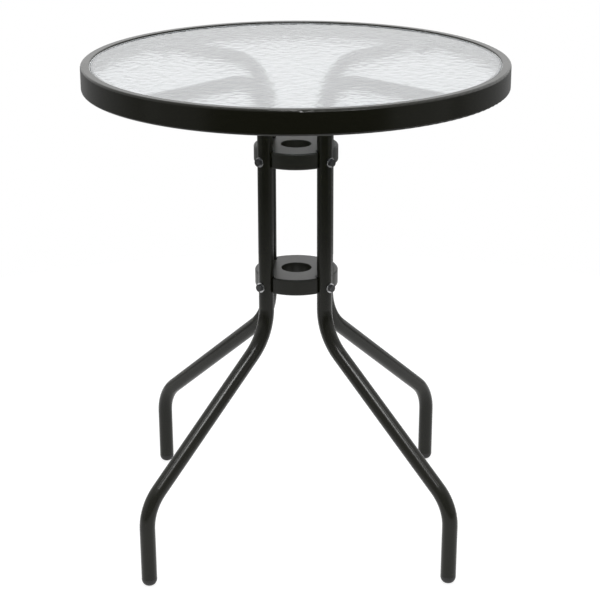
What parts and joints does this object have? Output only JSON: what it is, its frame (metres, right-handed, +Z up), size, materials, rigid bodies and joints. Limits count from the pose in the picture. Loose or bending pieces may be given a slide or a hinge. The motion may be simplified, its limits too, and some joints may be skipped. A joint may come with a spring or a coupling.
{
  "type": "garden table",
  "caption": "Round garden table: rippled glass in a dark steel rim, on bent tube legs held together by an upper and a lower round hub.",
  "frame": {"origin": "on the floor, under the middle of the table", "axes": "+Z up along the table's axis, +X to the right and -Y to the front, with the legs on the diagonals"},
  "size_m": [0.5999, 0.6, 0.7065],
  "materials": {
    "ripple_glass": "clear tempered glass with a water-ripple face",
    "powder_coat": "satin near-black powder coat on steel",
    "hub_plastic": "dark grey moulded plastic",
    "foot_plastic": "black moulded plastic",
    "seal_rubber": "soft, milky clear edge trim",
    "black_zinc": "black-plated steel bolts",
    "bright_zinc": "bright-plated steel"
  },
  "bodies": {
    "root": {"arm_inserts": "bright_zinc", "arm_plug_back_left": "foot_plastic", "arm_plug_back_right": "foot_plastic", "arm_plug_front_left": "foot_plastic", "arm_plug_front_right": "foot_plastic", "arm_screws": "black_zinc", "arm_washers": "bright_zinc", "foot_cap_back_left": "foot_plastic", "foot_cap_back_right": "foot_plastic", "foot_cap_front_left": "foot_plastic", "foot_cap_front_right": "foot_plastic", "glass_seal": "seal_rubber", "glass_top": "ripple_glass", "leg_back_left": "powder_coat", "leg_back_right": "powder_coat", "leg_front_left": "powder_coat", "leg_front_right": "powder_coat", "lower_hub": "hub_plastic", "lower_hub_bolts": "black_zinc", "lower_hub_nuts": "bright_zinc", "lower_hub_washers": "bright_zinc", "rim_lug_back_left": "powder_coat", "rim_lug_back_right": "powder_coat", "rim_lug_front_left": "powder_coat", "rim_lug_front_right": "powder_coat", "top_rim": "powder_coat", "upper_hub": "hub_plastic", "upper_hub_bolts": "black_zinc", "upper_hub_nuts": "bright_zinc", "upper_hub_washers": "bright_zinc"}
  },
  "joints": []
}
